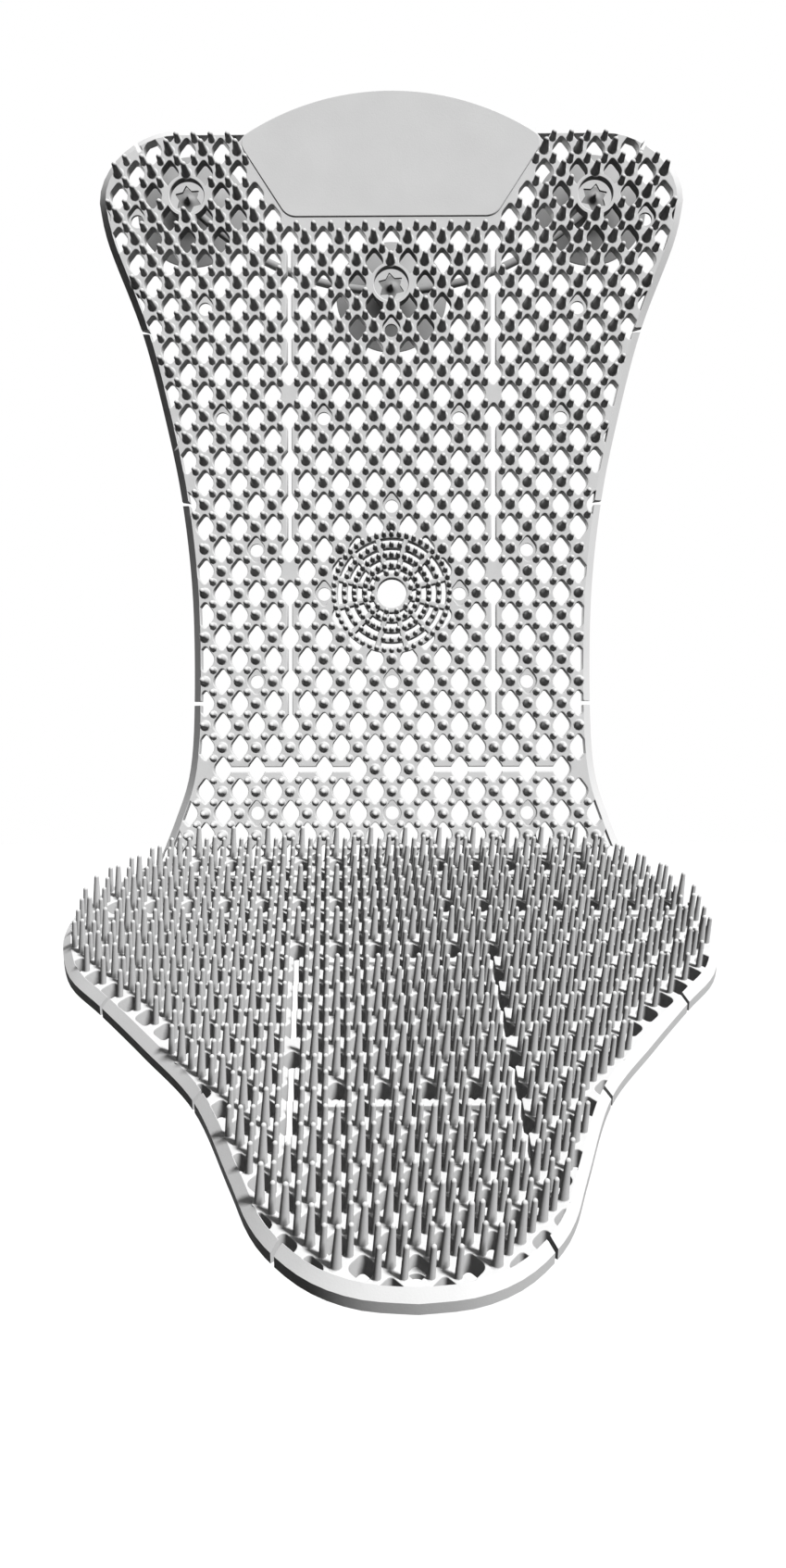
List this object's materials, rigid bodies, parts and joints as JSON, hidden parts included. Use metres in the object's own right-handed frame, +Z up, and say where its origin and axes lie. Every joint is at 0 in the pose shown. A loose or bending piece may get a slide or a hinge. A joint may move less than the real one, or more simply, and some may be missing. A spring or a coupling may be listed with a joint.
{
  "type": "urinal deodorizer screen",
  "caption": "Soft moulded lattice screen, upright back panel folded forward into a pinned splash mat, with suction cups joined by an arched bar behind it.",
  "frame": {"origin": "on the wall plane, at the middle of the lowest stretch of the middle suction cup's sealing lip", "axes": "+Z up along the back panel, -Y out towards the user and along the mat, +X to the right seen from the front"},
  "size_m": [0.2082, 0.23, 0.358],
  "materials": {
    "screen": "soft moulded plastic, satin matte",
    "suction_cups": "smooth soft vinyl"
  },
  "bodies": {
    "root": {"screen": "screen", "suction_cups": "suction_cups"}
  },
  "joints": []
}
